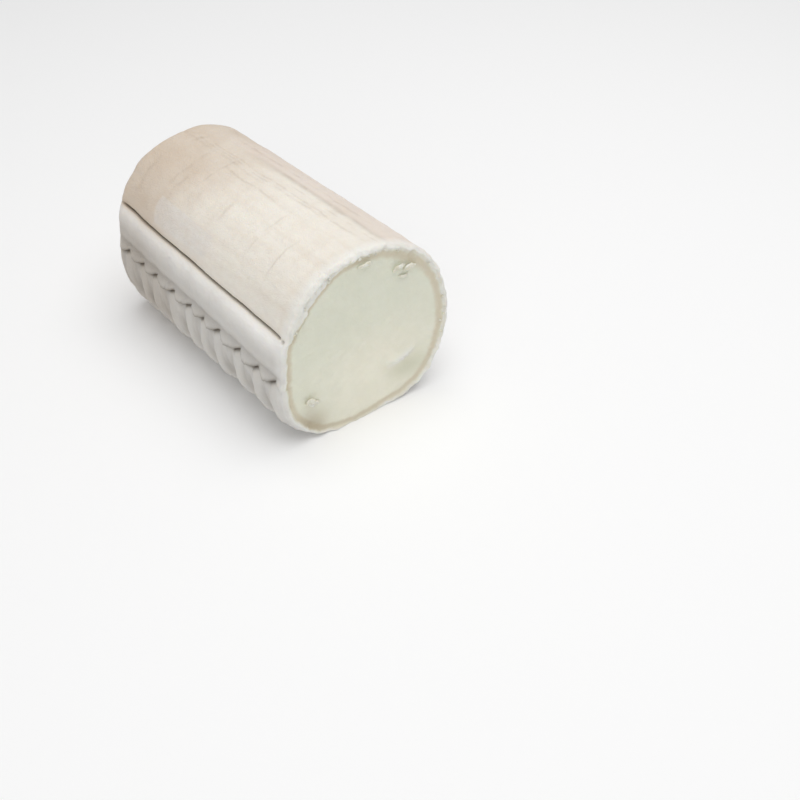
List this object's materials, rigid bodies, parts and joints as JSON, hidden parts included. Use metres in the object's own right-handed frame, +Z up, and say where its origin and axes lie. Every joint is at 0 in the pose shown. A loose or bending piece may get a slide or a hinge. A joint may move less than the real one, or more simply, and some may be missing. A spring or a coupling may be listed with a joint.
{
  "type": "goat cheese log",
  "caption": "Soft-ripened goat cheese log lying on its side, cut across near its middle, with a white rind, a long seam and a pleated lower flank.",
  "frame": {"origin": "middle of the bounding box at its base, on the surface that the log rests on", "axes": "+X along the log's axis, out of the cut face; +Z up; the flank with the seam and the hem shown faces -Y"},
  "size_m": [0.1236, 0.075, 0.0717],
  "materials": {
    "rind": "matte bloomy rind, off-white with a beige-pink cast, faintly creased",
    "paste": "smooth moist cut paste, pale cream with a faint green-grey cast and a tan line under the rind"
  },
  "bodies": {
    "root": {"cheese_log": "rind"}
  },
  "joints": []
}
